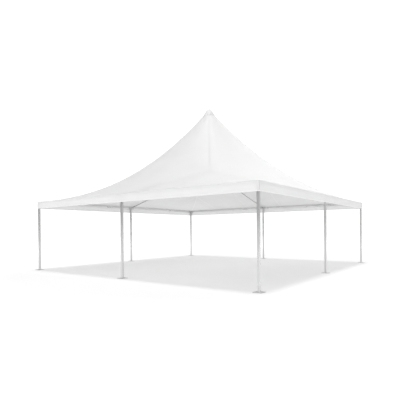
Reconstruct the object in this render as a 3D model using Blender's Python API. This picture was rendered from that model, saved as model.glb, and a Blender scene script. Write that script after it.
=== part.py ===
"""A white high-peak frame tent: eight square legs, an eave frame and four rafters that carry a mast,
with one stretched roof and a straight valance all round.

Units are metres, +Z is up. The origin lies on the ground under the middle of the tent. The front
side faces -Y, the right side +X, the back +Y and the left side -X.
"""

from math import atan, cos, pi, radians, sin, sqrt

import bmesh
import bpy
from mathutils import Matrix, Vector

# Overall size
OUTSIDE = 9.144             # over the outer faces of the legs, a 30 ft square
EAVE_HEIGHT = 2.515         # edge of the roof sheet
VALANCE_BOTTOM = 2.265      # free height under the valance
APEX_HEIGHT = 6.185         # where the roof's cone would come to a point
TOP_HEIGHT = 6.20           # top of the mast's cap

# Tubes, all square but for the mast
LEG_TUBE = 0.0635
RAFTER_TUBE = 0.0508
TUBE_ROUNDING = 0.004         # outer corner radius of the square tubes
MAST_RADIUS = 0.038
CROWN_HEIGHT = 3.76         # where the rafters' centre lines meet

# Fittings: welded sockets that the tubes' ends stand in
SOCKET_WALL = 0.005
SOCKET_DEPTH = 0.135        # how much of a leg or an eave rail is inside its socket
RAFTER_START = 0.065        # from the middle of an eave fitting to the rafter's end
RAFTER_SOCKET = 0.20        # from the middle of an eave fitting to the mouth of the rafter's socket
CROWN_HUB = 0.12
CROWN_SOCKET = 0.22         # from the middle of the crown to the mouth of a rafter's socket
RAFTER_END = 0.07           # from the middle of the crown to the rafter's end
MAST_SOCKET_TOP = 4.02

# Feet
PLATE_SIDE = 0.235
PLATE_THICKNESS = 0.008
PLATE_CORNER = 0.012

# Roof sheet and valance
SHEET_DROP = 0.008          # the sheet's underside lies this far below its upper face
VALANCE_THICKNESS = 0.006
VALANCE_CLEARANCE = 0.005   # between the fittings' outer faces and the valance
ROOF_STRAIGHTNESS = 0.55    # 1 would be straight from eave to peak, less sags inwards
RING_RADIUS = 0.055         # opening at the peak that the mast's cap covers
ROOF_RINGS = 13
ROOF_COLUMNS = 16
CAP_RADIUS = 0.070
CAP_ROUNDING = 0.015        # of the cap's upper edge
CAP_CLEARANCE = 0.002       # between the sheet's ring and the cap

# Clearance left between pieces that touch
TOUCH = 0.0003
FIT = 0.0004                # around a tube in its socket
SHEET_CLEARANCE = 0.001     # between the eave fittings and the sheet

# Fineness of round pieces, and how far a cut runs past what it opens
ROUND_SEGMENTS = 32
ROUNDING_STEPS = 2
SMOOTH_ANGLE = radians(40)
OVERRUN = 0.02

# Derived places
AXIS = (OUTSIDE - LEG_TUBE) / 2                       # legs' and eave rails' centre lines
SOCKET = LEG_TUBE + 2 * (FIT + SOCKET_WALL)           # outer width of a leg's or rail's socket
RAIL_HEIGHT = EAVE_HEIGHT - SHEET_DROP - SHEET_CLEARANCE - SOCKET / 2
VALANCE_INNER = AXIS + SOCKET / 2 + VALANCE_CLEARANCE
SHEET_HALF = VALANCE_INNER + VALANCE_THICKNESS
ROOF_RISE = APEX_HEIGHT - EAVE_HEIGHT
RAFTER_DIRECTION = Vector((0.0, AXIS, CROWN_HEIGHT - RAIL_HEIGHT)).normalized()

SIDES = ("front", "right", "back", "left")
CORNERS = ("front_right", "back_right", "back_left", "front_left")


def clear_scene():
    """Start from an empty scene."""
    for item in list(bpy.data.objects):
        bpy.data.objects.remove(item, do_unlink=True)


def material(name, colour, roughness, metallic):
    """One plain surface for one piece."""
    surface = bpy.data.materials.new(name)
    surface.use_nodes = True
    shader = surface.node_tree.nodes["Principled BSDF"]
    shader.inputs["Base Color"].default_value = (*colour, 1.0)
    shader.inputs["Roughness"].default_value = roughness
    shader.inputs["Metallic"].default_value = metallic
    surface.diffuse_color = (*colour, 1.0)
    return surface


def anodised(name):
    """Satin anodised aluminium of the drawn tubes."""
    return material(name, (0.72, 0.72, 0.73), 0.35, 0.9)


def aluminium(name):
    """Bare aluminium of the welded fittings."""
    return material(name, (0.66, 0.67, 0.68), 0.38, 0.9)


def galvanised(name):
    """Zinc-coated steel of the foot plates."""
    return material(name, (0.52, 0.53, 0.54), 0.5, 0.8)


def coated_fabric(name):
    """White coated tent fabric."""
    return material(name, (0.88, 0.88, 0.88), 0.55, 0.0)


def add_object(name, mesh, surface, matrix=None):
    """Put one named piece into the scene."""
    piece = bpy.data.objects.new(name, mesh)
    bpy.context.collection.objects.link(piece)
    if matrix is not None:
        piece.matrix_world = matrix
    piece.data.materials.clear()
    piece.data.materials.append(surface)
    return piece


def finish_mesh(name, bm, smooth=False):
    """Turn a bmesh into a mesh with its faces pointing outwards, shaded smooth where it is round."""
    bmesh.ops.recalc_face_normals(bm, faces=bm.faces)
    mesh = bpy.data.meshes.new(name)
    bm.to_mesh(mesh)
    bm.free()
    if smooth:
        mesh.shade_smooth()
        mesh.set_sharp_from_angle(angle=SMOOTH_ANGLE)
    return mesh


def box(width, depth, bottom, top):
    """An upright box about the Z axis, as a bmesh."""
    bm = bmesh.new()
    bmesh.ops.create_cube(bm, size=1.0)
    bmesh.ops.scale(bm, vec=(width, depth, top - bottom), verts=bm.verts)
    bmesh.ops.translate(bm, vec=(0.0, 0.0, (bottom + top) / 2), verts=bm.verts)
    return bm


def box_mesh(name, width, depth, bottom, top):
    """A plain upright box."""
    return finish_mesh(name, box(width, depth, bottom, top))


def bar_mesh(name, width, length, rounding):
    """A square bar with rounded upright edges, from z = 0 up to its length."""
    bm = box(width, width, 0.0, length)
    upright = [e for e in bm.edges if abs(e.verts[0].co.z - e.verts[1].co.z) > length / 2]
    bmesh.ops.bevel(bm, geom=upright, offset=rounding, segments=ROUNDING_STEPS, profile=0.5, affect="EDGES")
    return finish_mesh(name, bm, smooth=True)


def cylinder(radius, bottom, top):
    """An upright round bar between two heights, as a bmesh."""
    bm = bmesh.new()
    bmesh.ops.create_cone(bm, cap_ends=True, segments=ROUND_SEGMENTS, radius1=radius, radius2=radius,
                          depth=top - bottom)
    bmesh.ops.translate(bm, vec=(0.0, 0.0, (bottom + top) / 2), verts=bm.verts)
    return bm


def cylinder_mesh(name, radius, bottom, top):
    """A plain upright round bar."""
    return finish_mesh(name, cylinder(radius, bottom, top), smooth=True)


def boolean(target, other, operation):
    """Join another solid to a piece, or cut it away, and keep only the result."""
    step = target.modifiers.new(operation.lower(), "BOOLEAN")
    step.operation = operation
    step.solver = "EXACT"
    step.object = other
    depsgraph = bpy.context.evaluated_depsgraph_get()
    result = bpy.data.meshes.new_from_object(target.evaluated_get(depsgraph))
    target.modifiers.clear()
    target.data = result
    bpy.data.objects.remove(other, do_unlink=True)


def scratch(name, mesh, matrix=None):
    """A helper solid that a Boolean step uses up."""
    helper = bpy.data.objects.new(name, mesh)
    bpy.context.collection.objects.link(helper)
    if matrix is not None:
        helper.matrix_world = matrix
    return helper


def facing(direction):
    """Rotation that turns +Z towards a direction and keeps one side of the bar level."""
    forward = Vector(direction).normalized()
    level = Vector((0.0, 0.0, 1.0)).cross(forward)
    if level.length < 1e-6:
        level = Vector((0.0, 1.0, 0.0))
    level.normalize()
    third = forward.cross(level)
    return Matrix((level, third, forward)).transposed().to_4x4()


def socket_fitting_mesh(name, hub_width, arms):
    """A solid cube with square sockets welded to it, about its own middle.

    Each arm is (direction, tube width, mouth, floor): the socket reaches from the hub's middle to its
    mouth, and its bore from the floor out through the mouth.
    """
    hub = scratch(name, box_mesh(name, hub_width, hub_width, -hub_width / 2, hub_width / 2))
    for direction, tube, mouth, _ in arms:
        outer = tube + 2 * (FIT + SOCKET_WALL)
        sleeve = box_mesh(name + "_sleeve", outer, outer, 0.0, mouth)
        boolean(hub, scratch(name + "_sleeve", sleeve, facing(direction)), "UNION")
    for direction, tube, mouth, floor in arms:
        width = tube + 2 * FIT
        bore = box_mesh(name + "_bore", width, width, floor, mouth + OVERRUN)
        boolean(hub, scratch(name + "_bore", bore, facing(direction)), "DIFFERENCE")
    mesh = hub.data
    bpy.data.objects.remove(hub, do_unlink=True)
    return mesh


def quarter_turn(count):
    """Rotation by quarter turns about the tent's upright axis."""
    return Matrix.Rotation(count * pi / 2, 4, "Z")


def leg_places():
    """Where the legs stand: one at each corner and one in the middle of each side."""
    places = {}
    for turn in range(4):
        places["corner_" + CORNERS[turn]] = quarter_turn(turn) @ Vector((AXIS, -AXIS, 0.0))
        places["middle_" + SIDES[turn]] = quarter_turn(turn) @ Vector((0.0, -AXIS, 0.0))
    return places


def build_foot_plates():
    """Eight square steel plates that spread the legs' load on the ground."""
    plate = bar_mesh("foot_plate", PLATE_SIDE, PLATE_THICKNESS, PLATE_CORNER)
    zinc = galvanised("foot_plate_zinc")
    for name, place in leg_places().items():
        add_object("foot_plate_" + name, plate, zinc, Matrix.Translation(place))


def build_legs():
    """Eight legs, from the foot plates up into the fittings at the eave."""
    bottom = PLATE_THICKNESS + TOUCH
    top = RAIL_HEIGHT - SOCKET / 2 - FIT
    leg = bar_mesh("leg", LEG_TUBE, top - bottom, TUBE_ROUNDING)
    metal = anodised("leg_aluminium")
    for name, place in leg_places().items():
        add_object("leg_" + name, leg, metal, Matrix.Translation(place + Vector((0.0, 0.0, bottom))))


def build_eave_rails():
    """Two eave rails a side, each named for its side and for the corner that it runs to."""
    inset = SOCKET / 2 + FIT
    rail = bar_mesh("eave_rail", LEG_TUBE, AXIS - 2 * inset, TUBE_ROUNDING)
    metal = anodised("eave_rail_aluminium")
    along = facing((1.0, 0.0, 0.0))
    for turn, side in enumerate(SIDES):
        for neighbour, start in ((SIDES[turn - 1], inset - AXIS), (SIDES[(turn + 1) % 4], inset)):
            place = Matrix.Translation((start, -AXIS, RAIL_HEIGHT))
            add_object("eave_rail_" + side + "_" + neighbour, rail, metal, quarter_turn(turn) @ place @ along)


def build_eave_fittings():
    """Welded sockets at the eave: three-way at the corners, four-way in the middle of each side."""
    floor = SOCKET / 2
    mouth = floor + SOCKET_DEPTH
    down = ((0.0, 0.0, -1.0), LEG_TUBE, mouth, floor)
    to_left = ((-1.0, 0.0, 0.0), LEG_TUBE, mouth, floor)
    to_right = ((1.0, 0.0, 0.0), LEG_TUBE, mouth, floor)
    to_back = ((0.0, 1.0, 0.0), LEG_TUBE, mouth, floor)
    to_crown = (RAFTER_DIRECTION, RAFTER_TUBE, RAFTER_SOCKET, RAFTER_START - FIT)
    corner = socket_fitting_mesh("corner_fitting", SOCKET, [down, to_left, to_back])
    middle = socket_fitting_mesh("middle_fitting", SOCKET, [down, to_left, to_right, to_crown])
    metal = aluminium("eave_fitting_aluminium")
    for turn in range(4):
        at_corner = Matrix.Translation((AXIS, -AXIS, RAIL_HEIGHT))
        at_middle = Matrix.Translation((0.0, -AXIS, RAIL_HEIGHT))
        add_object("corner_fitting_" + CORNERS[turn], corner, metal, quarter_turn(turn) @ at_corner)
        add_object("middle_fitting_" + SIDES[turn], middle, metal, quarter_turn(turn) @ at_middle)


def build_rafters():
    """Four rafters from the middle of each eave up to the crown under the mast."""
    line = sqrt(AXIS ** 2 + (CROWN_HEIGHT - RAIL_HEIGHT) ** 2)
    rafter = bar_mesh("rafter", RAFTER_TUBE, line - RAFTER_START - RAFTER_END, TUBE_ROUNDING)
    metal = anodised("rafter_aluminium")
    start = Vector((0.0, -AXIS, RAIL_HEIGHT)) + RAFTER_DIRECTION * RAFTER_START
    lie = Matrix.Translation(start) @ facing(RAFTER_DIRECTION)
    for turn, side in enumerate(SIDES):
        add_object("rafter_" + side, rafter, metal, quarter_turn(turn) @ lie)


def build_crown():
    """Hub that joins the four rafters and holds the foot of the mast in a round socket."""
    arms = []
    for turn in range(4):
        outward = quarter_turn(turn) @ -RAFTER_DIRECTION
        arms.append((outward, RAFTER_TUBE, CROWN_SOCKET, RAFTER_END - FIT))
    mesh = socket_fitting_mesh("crown_fitting", CROWN_HUB, arms)
    crown = add_object("crown_fitting", mesh, aluminium("crown_aluminium"))
    top = MAST_SOCKET_TOP - CROWN_HEIGHT
    socket = cylinder_mesh("mast_socket", MAST_RADIUS + FIT + SOCKET_WALL, 0.0, top)
    boolean(crown, scratch("mast_socket", socket), "UNION")
    bore = cylinder_mesh("mast_bore", MAST_RADIUS + FIT, CROWN_HUB / 2, top + OVERRUN)
    boolean(crown, scratch("mast_bore", bore), "DIFFERENCE")
    crown.location = (0.0, 0.0, CROWN_HEIGHT)


def roof_height(spread):
    """Height of the sheet on the ring with this spread, from 0 at the peak to 1 at the eave."""
    rest = 1.0 - spread
    return EAVE_HEIGHT + ROOF_RISE * rest * (ROOF_STRAIGHTNESS + (1.0 - ROOF_STRAIGHTNESS) * rest)


def roof_point(spread, across):
    """A point on the front quarter of the stretched sheet.

    The level rings go from a circle at the peak to a square at the eave, so that the sheet is level
    in its corners and has no crease along its hips. across runs from -1 to 1 between two hips.
    """
    angle = atan(across)
    bulge = sin(2 * angle) ** 2
    reach = SHEET_HALF * spread * sqrt(2.0 / (1.0 + sqrt(1.0 - spread ** 2 * bulge)))
    return Vector((reach * sin(angle), -reach * cos(angle), roof_height(spread)))


def build_roof():
    """The roof sheet, in the four panels that meet along its welded hip seams."""
    first = RING_RADIUS / SHEET_HALF
    columns = [-1.0 + 2.0 * i / ROOF_COLUMNS for i in range(ROOF_COLUMNS + 1)]
    rings = [first + (1.0 - first) * j / ROOF_RINGS for j in range(ROOF_RINGS + 1)]
    bm = bmesh.new()
    upper = [[bm.verts.new(roof_point(s, c)) for c in columns] for s in rings]
    for below, above in zip(upper[1:], upper):
        for i in range(ROOF_COLUMNS):
            bm.faces.new((below[i], below[i + 1], above[i + 1], above[i]))
    skin = bmesh.ops.extrude_face_region(bm, geom=bm.faces[:])
    lowered = [g for g in skin["geom"] if isinstance(g, bmesh.types.BMVert)]
    bmesh.ops.translate(bm, vec=(0.0, -TOUCH, 0.0), verts=bm.verts)
    bmesh.ops.translate(bm, vec=(0.0, 0.0, -SHEET_DROP), verts=lowered)
    panel = finish_mesh("roof_panel", bm, smooth=True)
    fabric = coated_fabric("roof_fabric")
    for turn, side in enumerate(SIDES):
        add_object("roof_" + side, panel, fabric, quarter_turn(turn))


def build_valances():
    """Four straight valance strips, mitred at the corners, that hang from the roof's edge."""
    rise = Vector((0.0, 0.0, EAVE_HEIGHT - SHEET_DROP - TOUCH - VALANCE_BOTTOM))
    outer = SHEET_HALF - TOUCH
    inner = VALANCE_INNER - TOUCH
    outline = ((-outer, -SHEET_HALF), (outer, -SHEET_HALF), (inner, -VALANCE_INNER), (-inner, -VALANCE_INNER))
    bm = bmesh.new()
    base = bm.faces.new([bm.verts.new((x, y, VALANCE_BOTTOM)) for x, y in outline])
    raised = bmesh.ops.extrude_face_region(bm, geom=[base])
    upper = [g for g in raised["geom"] if isinstance(g, bmesh.types.BMVert)]
    bmesh.ops.translate(bm, vec=rise, verts=upper)
    strip = finish_mesh("valance", bm)
    fabric = coated_fabric("valance_fabric")
    for turn, side in enumerate(SIDES):
        add_object("valance_" + side, strip, fabric, quarter_turn(turn))


def build_mast():
    """The short mast on the crown and the round cap over the roof's ring."""
    cap_bottom = roof_height(RING_RADIUS / SHEET_HALF) + CAP_CLEARANCE
    foot = CROWN_HEIGHT + CROWN_HUB / 2 + TOUCH
    pole = cylinder_mesh("mast", MAST_RADIUS, foot, cap_bottom - TOUCH)
    add_object("mast", pole, anodised("mast_aluminium"))
    cap = cylinder(CAP_RADIUS, cap_bottom, TOP_HEIGHT)
    rim = [e for e in cap.edges if min(v.co.z for v in e.verts) > (cap_bottom + TOP_HEIGHT) / 2]
    bmesh.ops.bevel(cap, geom=rim, offset=CAP_ROUNDING, segments=ROUNDING_STEPS + 1, profile=0.5,
                    affect="EDGES")
    add_object("mast_cap", finish_mesh("mast_cap", cap, smooth=True), coated_fabric("mast_cap_fabric"))


def main():
    clear_scene()
    build_foot_plates()
    build_legs()
    build_eave_rails()
    build_eave_fittings()
    build_rafters()
    build_crown()
    build_mast()
    build_roof()
    build_valances()


main()
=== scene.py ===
# %% [markdown]
# The looks of a high-peak frame tent.
#
# The tent's tubes, fittings and feet were made as solids beforehand. This lesson loads them as a fixed
# frame, gives each its finish, and makes the soft parts that solids can't show well: the stretched roof,
# the valance that hangs from its edge and the hood over the mast. Everything is in metres, the front
# side faces -Y and +Z is up.

# %% Load the frame
import math

import bmesh
import bpy
from mathutils import Matrix, Vector, noise
from mathutils.bvhtree import BVHTree


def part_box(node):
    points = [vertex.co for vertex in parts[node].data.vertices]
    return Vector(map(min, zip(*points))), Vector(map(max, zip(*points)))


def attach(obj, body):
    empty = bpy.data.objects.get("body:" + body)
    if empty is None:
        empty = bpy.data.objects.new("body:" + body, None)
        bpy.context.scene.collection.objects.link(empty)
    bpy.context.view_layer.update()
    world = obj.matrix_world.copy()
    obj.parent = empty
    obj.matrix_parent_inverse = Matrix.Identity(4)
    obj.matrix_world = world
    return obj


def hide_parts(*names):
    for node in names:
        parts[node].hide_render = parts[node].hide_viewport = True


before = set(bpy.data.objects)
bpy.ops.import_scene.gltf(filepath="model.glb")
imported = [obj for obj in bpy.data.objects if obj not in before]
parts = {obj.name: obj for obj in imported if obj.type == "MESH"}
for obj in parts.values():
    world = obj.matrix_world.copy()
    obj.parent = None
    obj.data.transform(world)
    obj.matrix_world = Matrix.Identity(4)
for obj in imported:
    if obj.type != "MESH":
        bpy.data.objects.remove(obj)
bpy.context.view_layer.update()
SIDES = ("front", "right", "back", "left")

# %% [markdown]
# The camera stands at eye level in front of one corner, and looks level, so that upright posts stay
# upright in the picture. The horizon then lies below the picture's middle. That is done by shifting the
# lens, as an architect's camera does, because tilting the camera would make the posts lean. It is rolled by
# half a degree, as a camera that isn't set up with a spirit level often is.

# %% Camera
PICTURE_SIDE = 400                                # pixels
FOCAL_LENGTH = 371.1                              # pixels
HORIZON_ROW = 230.8                               # pixel row that the lens looks along
MIDDLE_COLUMN = 200.2
SENSOR_WIDTH = 36.0                               # millimetres
EYE = Vector((8.475, -11.989, 1.392))
EYE_TURN = math.radians(36.8)
EYE_ROLL = math.radians(-0.5)

lens = bpy.data.cameras.new("eye_level_camera")
lens.sensor_width = SENSOR_WIDTH
lens.lens = FOCAL_LENGTH * SENSOR_WIDTH / PICTURE_SIDE
lens.shift_x = (PICTURE_SIDE / 2 - MIDDLE_COLUMN) / PICTURE_SIDE
lens.shift_y = (HORIZON_ROW - PICTURE_SIDE / 2) / PICTURE_SIDE
lens.clip_start = 0.1
lens.clip_end = 1000.0
camera = bpy.data.objects.new("eye_level_camera", lens)
bpy.context.scene.collection.objects.link(camera)
upright = Matrix.Rotation(math.pi / 2, 4, "X")
turned = Matrix.Rotation(EYE_TURN, 4, "Z")
camera.matrix_world = Matrix.Translation(EYE) @ turned @ upright @ Matrix.Rotation(EYE_ROLL, 4, "Z")
bpy.context.scene.camera = camera


def pixel_of(point):
    """Where the camera sees a point, in pixels from the picture's upper left corner."""
    seen = camera.matrix_world.inverted() @ Vector(point)
    column = MIDDLE_COLUMN - FOCAL_LENGTH * seen.x / seen.z
    row = HORIZON_ROW + FOCAL_LENGTH * seen.y / seen.z
    return round(column, 1), round(row, 1)


near_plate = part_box("foot_plate_corner_front_right")
print("the near foot is at pixel", pixel_of((near_plate[0] + near_plate[1]) / 2))

# %% [markdown]
# A tent this pale is best shown in a bright studio on a pale floor. The floor glows a little, as a light
# table does. It glows more farther out, where less lamp light falls on it, so it stays white to the
# horizon and still takes a soft shadow under the roof. It also glows a little more round the mast, where
# the roof keeps off the most light, so that the shadow is even.
# Shader trees get long when every node is wired by hand, so one small helper adds a node, sets its plain
# values and makes its links. Every finish below is built with it.


# %% Helpers for shader nodes
def add_node(tree, kind, links=None, values=None, **settings):
    """Add a node. links feed its inputs from other nodes, values set its inputs, settings its options."""
    made = tree.nodes.new("ShaderNode" + kind)
    for name, value in settings.items():
        setattr(made, name, value)
    for name, value in (values or {}).items():
        made.inputs[name].default_value = value
    for name, source in (links or {}).items():
        tree.links.new(source, made.inputs[name])
    return made


def grey(level):
    """A neutral colour."""
    return (level, level, level, 1.0)


# %% Floor
FLOOR_SIDE = 600.0
FLOOR_COLOUR = 0.6
CENTRE_GLOW = 0.40
NEAR_GLOW = 0.285
FAR_GLOW = 0.58
GLOW_START = 7.0                                  # metres from the mast
GLOW_END = 18.0

floor_mesh = bpy.data.meshes.new("floor")
floor_bm = bmesh.new()
bmesh.ops.create_grid(floor_bm, x_segments=1, y_segments=1, size=FLOOR_SIDE / 2)
floor_bm.to_mesh(floor_mesh)
floor_bm.free()
floor = bpy.data.objects.new("floor", floor_mesh)
bpy.context.scene.collection.objects.link(floor)
floor_finish = bpy.data.materials.new("light_table")
floor_finish.use_nodes = True
table_shader = floor_finish.node_tree.nodes["Principled BSDF"]
table_shader.inputs["Base Color"].default_value = grey(FLOOR_COLOUR)
table_shader.inputs["Roughness"].default_value = 1.0
table_shader.inputs["Specular IOR Level"].default_value = 0.0
table_shader.inputs["Emission Color"].default_value = grey(1.0)
table = floor_finish.node_tree
spot = add_node(table, "TexCoord").outputs["Object"]
distance = add_node(table, "VectorMath", {0: spot}, operation="LENGTH").outputs["Value"]
inner_glow = add_node(table, "MapRange", {"Value": distance},
                      {"From Min": 0.0, "From Max": GLOW_START, "To Min": CENTRE_GLOW, "To Max": NEAR_GLOW})
outer_glow = add_node(table, "MapRange", {"Value": distance},
                      {"From Min": GLOW_START, "From Max": GLOW_END, "To Min": 0.0,
                       "To Max": FAR_GLOW - NEAR_GLOW})
glow_sum = add_node(table, "Math", {0: inner_glow.outputs["Result"], 1: outer_glow.outputs["Result"]},
                    operation="ADD")
table.links.new(glow_sum.outputs[0], table_shader.inputs["Emission Strength"])
floor_mesh.materials.append(floor_finish)
print("floor", floor.dimensions[:2])

# %% [markdown]
# Most of the light is soft light from large bright panels round the studio. Real lamps could stand there,
# but the same light can be painted on the world behind everything: each panel is a glow that fades away
# from its middle. The wall in front on the left has no low panel. The posts mirror that wall on their
# front faces, which makes them grey against all the white, and the pale floor brightens their feet.

# %% Light from the room
BACKDROP_LIGHT = 1.2
FADE = 8.0                                        # how fast a panel's glow fades away from its middle
PANELS = (                                        # degrees from +X towards +Y, degrees up, brightness
    ("front left, high", 225, 38, 1.0),
    ("front, high", 270, 38, 0.55),
    ("front, overhead", 270, 70, 0.8),
    ("back, high", 90, 38, 2.4),
    ("right front, low", 315, 8, 2.25),
    ("right back, low", 45, 8, 0.5),
)

room = bpy.data.worlds.new("studio")
bpy.context.scene.world = room
room.use_nodes = True
sky = room.node_tree
sky.nodes.clear()
direction = add_node(sky, "TexCoord").outputs["Generated"]
light_sum = None
for name, turn, lift, brightness in PANELS:
    turn, lift = math.radians(turn), math.radians(lift)
    towards = (math.cos(lift) * math.cos(turn), math.cos(lift) * math.sin(turn), math.sin(lift))
    facing = add_node(sky, "VectorMath", {0: direction}, {1: towards}, operation="DOT_PRODUCT")
    fade = add_node(sky, "Math", {0: facing.outputs["Value"]}, {1: FADE, 2: -FADE},
                    operation="MULTIPLY_ADD")
    glow = add_node(sky, "Math", {0: fade.outputs[0]}, operation="EXPONENT")
    panel = add_node(sky, "Math", {0: glow.outputs[0]}, {1: brightness}, operation="MULTIPLY")
    if light_sum is None:
        light_sum = panel.outputs[0]
    else:
        light_sum = add_node(sky, "Math", {0: light_sum, 1: panel.outputs[0]}, operation="ADD").outputs[0]
lit = add_node(sky, "Background", {"Strength": light_sum}, {"Color": grey(1.0)})
backdrop = add_node(sky, "Background", None, {"Color": grey(1.0), "Strength": BACKDROP_LIGHT})
seen = add_node(sky, "LightPath").outputs["Is Camera Ray"]
both = add_node(sky, "MixShader", {0: seen, 1: lit.outputs[0], 2: backdrop.outputs[0]})
add_node(sky, "OutputWorld", {"Surface": both.outputs[0]})
print("the studio has", len(PANELS), "panels")

# %% [markdown]
# The shadow on the floor is the tent's own plan: a soft-edged square that reaches a little past the feet.
# Light from the walls can't draw it, so one wide round lamp hangs high above the mast. Its height sets how
# far the shadow spreads past the roof's edge, and its width how soft the shadow's edge is.

# %% Lamp over the tent
TOP_LAMP_HEIGHT = 80.0
TOP_LAMP_WIDTH = 16.0
TOP_LAMP_LIGHT = 1.4                              # what reaches the floor, in watts a square metre

top_light = bpy.data.lights.new("top_lamp", "AREA")
top_light.shape = "DISK"
top_light.size = TOP_LAMP_WIDTH
top_light.energy = TOP_LAMP_LIGHT * math.pi * TOP_LAMP_HEIGHT ** 2
top_lamp = bpy.data.objects.new("top_lamp", top_light)
top_lamp.location = (0.0, 0.0, TOP_LAMP_HEIGHT)
bpy.context.scene.collection.objects.link(top_lamp)
bpy.context.scene.view_settings.view_transform = "Standard"
print("the lamp gives", round(top_light.energy), "watts")

# %% [markdown]
# Finishes come next. On a real tent the tubes are drawn aluminium with a satin anodised skin, which shows
# fine lines along the tube and cloudy patches where the skin is thicker. Both patterns are noise: the
# lines are a fine noise whose coordinates are squeezed along the tube. They steer colour, roughness and a
# shallow bump, so that light breaks on the tubes as it does on real ones. The mast is painted nearly black,
# so that through the cloth it paints the thin grey line of shade that the mast casts on the roof.


# %% Drawn tubes
def new_finish(name, roughness, metallic=0.0, specular=0.5):
    """A material with one Principled shader. Returns the material, its tree and the shader."""
    finish = bpy.data.materials.new(name)
    finish.use_nodes = True
    shader = finish.node_tree.nodes["Principled BSDF"]
    shader.inputs["Roughness"].default_value = roughness
    shader.inputs["Metallic"].default_value = metallic
    shader.inputs["Specular IOR Level"].default_value = specular
    return finish, finish.node_tree, shader


def noise_of(tree, coordinates, scale, detail=3.0, roughness=0.5):
    """Cloudy values from 0 to 1. scale is about how many clouds there are to a metre."""
    made = add_node(tree, "TexNoise", {"Vector": coordinates},
                    {"Scale": scale, "Detail": detail, "Roughness": roughness})
    return made.outputs["Fac"]


def ramp(tree, value, low, high, start=0.3, end=0.7):
    """Turn values between start and end into greys between low and high. Most noise lies in 0.3 to 0.7."""
    made = add_node(tree, "ValToRGB", {"Fac": value})
    first, last = made.color_ramp.elements
    first.position, first.color = start, grey(low)
    last.position, last.color = end, grey(high)
    return made.outputs["Color"]


def combined(tree, first, second, operation="MULTIPLY"):
    """Two patterns put together."""
    return add_node(tree, "Math", {0: first, 1: second}, operation=operation).outputs[0]


def bumped(tree, shader, height, distance, strength=1.0):
    """Let a pattern of heights turn the light on the surface. distance is its depth in metres."""
    made = add_node(tree, "Bump", {"Height": height}, {"Strength": strength, "Distance": distance})
    tree.links.new(made.outputs["Normal"], shader.inputs["Normal"])


def place_of(tree, kind="Object"):
    """Coordinates in metres: Object is the tent's own space, UV runs along a cloth."""
    return add_node(tree, "TexCoord").outputs[kind]


def drawn_coordinates(tree, along, squeeze=300.0):
    """Coordinates squeezed along a tube, so that a pattern becomes long lines, as drawing leaves."""
    made = add_node(tree, "Mapping", {"Vector": place_of(tree)}, vector_type="TEXTURE")
    made.inputs["Rotation"].default_value = Vector(along).to_track_quat("Z", "Y").to_euler()
    made.inputs["Scale"].default_value = (1.0, 1.0, squeeze)
    return made.outputs["Vector"]


RAIL_LIGHT = 0.80                                 # middle grey of each kind of tube
RAFTER_LIGHT = 0.66
# painted shade: the mast is made nearly black, so it shows through the roof as a line of shade
MAST_PAINTED_DARK = 0.06
LEG_LIGHT = 0.75
CLOUDING = 0.02                                   # how far the skin's clouds depart from it
LINING = 0.04                                     # how far the drawn lines depart from it
CLOUDS = 2.5                                      # clouds and lines in a metre, about
LINES = 420.0


def tube_finish(name, along, light):
    """Anodised aluminium tube. Returns the material, its tree, its shader and its colour's output."""
    finish, tree, shader = new_finish(name, 0.3, metallic=1.0)
    lines = noise_of(tree, drawn_coordinates(tree, along), LINES, detail=2.0)
    clouds = noise_of(tree, place_of(tree), CLOUDS)
    cloudy = ramp(tree, clouds, light - CLOUDING, light + CLOUDING)
    lined = ramp(tree, lines, 1.0 - LINING, 1.0 + LINING)
    colour = add_node(tree, "VectorMath", {0: cloudy, 1: lined}, operation="MULTIPLY").outputs[0]
    tree.links.new(colour, shader.inputs["Base Color"])
    tree.links.new(ramp(tree, clouds, 0.24, 0.36), shader.inputs["Roughness"])
    bumped(tree, shader, lines, 0.0001, 0.25)
    return finish, tree, shader, colour


def dress(finish, names):
    """Give solids of the frame this finish."""
    for name in names:
        slots = parts[name].data.materials
        slots.clear()
        slots.append(finish)


for turn, side in enumerate(SIDES):
    along = Matrix.Rotation(turn * math.pi / 2, 3, "Z") @ Vector((1.0, 0.0, 0.0))
    rails = [name for name in parts if name.startswith("eave_rail_" + side)]
    dress(tube_finish("anodised_rail_" + side, along, RAIL_LIGHT)[0], rails)
    low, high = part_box("rafter_" + side)
    run = max(high.x - low.x, high.y - low.y)
    slope = Matrix.Rotation(turn * math.pi / 2, 3, "Z") @ Vector((0.0, run, high.z - low.z))
    dress(tube_finish("anodised_rafter_" + side, slope, RAFTER_LIGHT)[0], ["rafter_" + side])
dress(tube_finish("anodised_mast_painted_dark", (0.0, 0.0, 1.0), MAST_PAINTED_DARK)[0], ["mast"])
print("drawn tubes finished:", len([n for n in parts if n.startswith(("eave_rail", "rafter", "mast"))]) - 1)

# %% [markdown]
# The legs are the same tube, but their colour is also steered by height. A ramp darkens the upper part:
# this is painted shade, where the legs stand up under the eave. Close to the floor specks of pale dust
# grow denser towards the foot plate; they also paint the feet lighter, as painted light from the floor.

# %% Legs
LEG_PAINTED_SHADE_TOP = 0.80                                # painted shade: how much of its colour a leg keeps at the top
LEG_PAINTED_SHADE_FROM = 0.6
LEG_PAINTED_SHADE_TO = 1.9
DUST_TOP = 1.1                                    # metres above the floor
DUST_AND_FLOOR_LIGHT_MOST = 0.15                                  # share of the colour at the foot plate: pale dust that also paints the floor's light
DUST_AND_FLOOR_LIGHT_COLOUR = 0.88


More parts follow.
